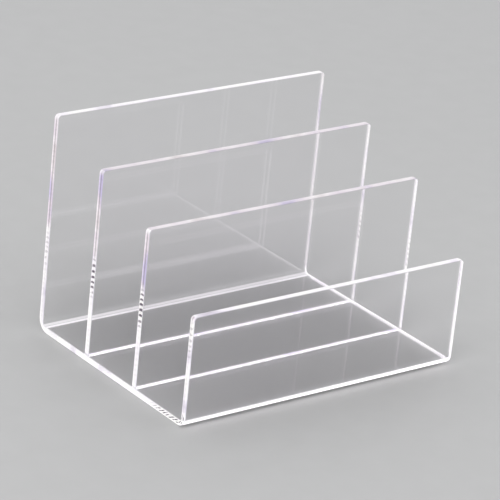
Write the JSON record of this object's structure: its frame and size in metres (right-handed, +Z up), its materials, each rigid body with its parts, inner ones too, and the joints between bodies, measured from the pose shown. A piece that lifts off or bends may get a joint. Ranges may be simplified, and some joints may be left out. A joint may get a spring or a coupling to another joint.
{
  "type": "desktop file sorter",
  "caption": "Clear acrylic desktop file sorter: a bent sheet forms the base, low front and tall rear wall, with cemented upright dividers that step up towards the rear.",
  "frame": {"origin": "on the underside, at the middle of the width and of the depth", "axes": "+X along the sheets (the width), -Y towards the low front wall, +Y towards the tall rear wall, +Z up"},
  "size_m": [0.25, 0.189, 0.174],
  "materials": {
    "clear_acrylic": "clear, glossy, with polished edges",
    "solvent_cement": "clear, glossy, slightly rippled"
  },
  "bodies": {
    "root": {"bent_tray": "clear_acrylic", "rear_divider": "clear_acrylic", "front_divider": "clear_acrylic", "rear_divider_cement": "solvent_cement", "front_divider_cement": "solvent_cement"}
  },
  "joints": []
}
